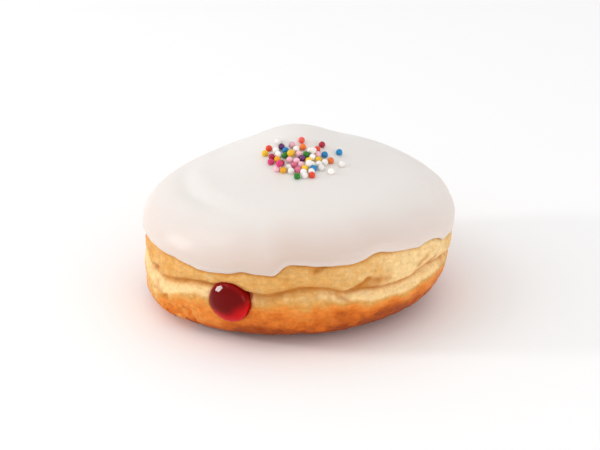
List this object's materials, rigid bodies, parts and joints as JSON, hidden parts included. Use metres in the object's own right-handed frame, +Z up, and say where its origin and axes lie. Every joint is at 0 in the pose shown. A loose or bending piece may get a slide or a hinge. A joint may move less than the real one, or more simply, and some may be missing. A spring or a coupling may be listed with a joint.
{
  "type": "sprinkle frosted doughnut",
  "caption": "Round filled doughnut without a hole: seamed fried dough, thick white icing with a small heap of round sugar pearls on top, and a drop of red jam at the side.",
  "frame": {"origin": "middle of the flat spot that the doughnut rests on", "axes": "+Z up through the icing, +X to the right and +Y to the back, seen from the side with the jam, which comes out at the front left"},
  "size_m": [0.088, 0.0876, 0.0443],
  "materials": {
    "dough": "matt fried crust, pale at the seam and brown below",
    "icing": "set white sugar icing with a soft sheen, pearls in mixed colours",
    "jam": "wet dark red jam, glossy"
  },
  "bodies": {
    "root": {"dough": "dough", "icing": "icing", "jam": "jam"}
  },
  "joints": []
}
